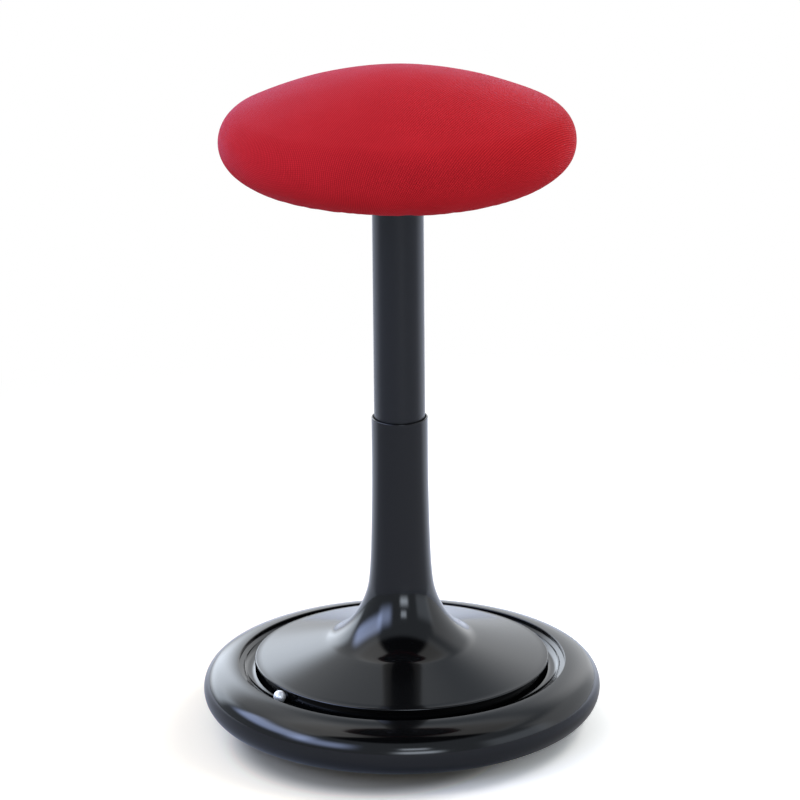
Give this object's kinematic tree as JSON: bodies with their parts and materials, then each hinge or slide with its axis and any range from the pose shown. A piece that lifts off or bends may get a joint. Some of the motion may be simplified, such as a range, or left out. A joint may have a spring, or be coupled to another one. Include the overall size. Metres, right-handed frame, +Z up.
{
  "type": "wobble stool",
  "caption": "Rocking stool with a round red knitted cushion, a telescoping gas-lift column and a domed gloss black base with a steel ball running in its channel.",
  "frame": {"origin": "centre of the flat middle of the rubber sole, on the floor", "axes": "+Z up along the column, +Y towards the release lever at the back"},
  "size_m": [0.3828, 0.3828, 0.6418],
  "materials": {
    "red_knit": "fine diagonal knit with a soft pink sheen",
    "foam": "open cell foam",
    "plywood": "raw birch plywood",
    "black_board": "matt",
    "satin_black_tube": "satin powder coat",
    "gloss_black": "high gloss",
    "black_nylon": "moulded, fine grain",
    "black_rubber": "matt",
    "chrome_steel": "polished",
    "black_steel": "semi-gloss black",
    "zinc_steel": "bright zinc",
    "cast_ballast": "rough cast, painted"
  },
  "bodies": {
    "base": {"rubber_sole": "black_rubber", "base_pan": "black_nylon", "ballast_plate": "cast_ballast", "base_ring": "gloss_black", "column_cover": "gloss_black", "standpipe": "black_steel", "bottom_plug": "black_steel", "guide_bush": "black_nylon", "pan_screws": "zinc_steel", "ring_screws": "zinc_steel", "column_screws": "zinc_steel", "flange_bolts": "zinc_steel", "lower_race": "zinc_steel"},
    "ball": {"track_ball": "chrome_steel"},
    "rod": {"piston_rod": "chrome_steel", "upper_race": "zinc_steel", "rod_clip": "zinc_steel", "clip_washer": "zinc_steel", "piston": "black_nylon", "bump_stop": "black_rubber"},
    "cage": {"bearing_cage": "black_nylon", "bearing_balls": "zinc_steel"},
    "seat": {"upper_tube": "satin_black_tube", "tube_slider": "black_nylon", "tube_collar": "black_nylon", "gas_cylinder": "black_steel", "cylinder_gland": "black_nylon", "seat_plate": "black_steel", "plate_screws": "zinc_steel", "lever_pivot_pin": "zinc_steel", "seat_board": "plywood", "t_nuts": "zinc_steel", "seat_foam": "foam", "seat_cover": "red_knit", "trim_ring": "black_board", "trim_screws": "zinc_steel"},
    "lever": {"release_lever": "black_steel", "lever_grip": "black_nylon"},
    "valve": {"valve_pin": "zinc_steel"}
  },
  "joints": [
    {"name": "ball_orbit", "type": "hinge", "parent": "base", "child": "ball", "pos_m": [0, 0, 0.058], "axis": [0, 0, 1], "continuous": true},
    {"name": "seat_swivel", "type": "hinge", "parent": "base", "child": "rod", "pos_m": [0, 0, 0.029], "axis": [0, 0, 1], "continuous": true},
    {"name": "cage_turn", "type": "hinge", "parent": "base", "child": "cage", "pos_m": [0, 0, 0.025], "axis": [0, 0, 1], "continuous": true},
    {"name": "seat_height", "type": "slide", "parent": "rod", "child": "seat", "axis": [0, 0, 1], "range_m": [-0.155, 0.025]},
    {"name": "lever_pull", "type": "hinge", "parent": "seat", "child": "lever", "pos_m": [0, 0.031, 0.5257], "axis": [1, 0, 0], "range_deg": [0, 5], "stiffness_Nm_per_rad": 2},
    {"name": "valve_press", "type": "slide", "parent": "seat", "child": "valve", "axis": [0, 0, -1], "range_m": [0, 0.0028]}
  ],
  "couplings": [
    {"joint": "cage_turn", "follows": "seat_swivel", "ratio": 0.5},
    {"joint": "valve_press", "follows": "lever_pull", "m_per_rad": 0.031}
  ]
}
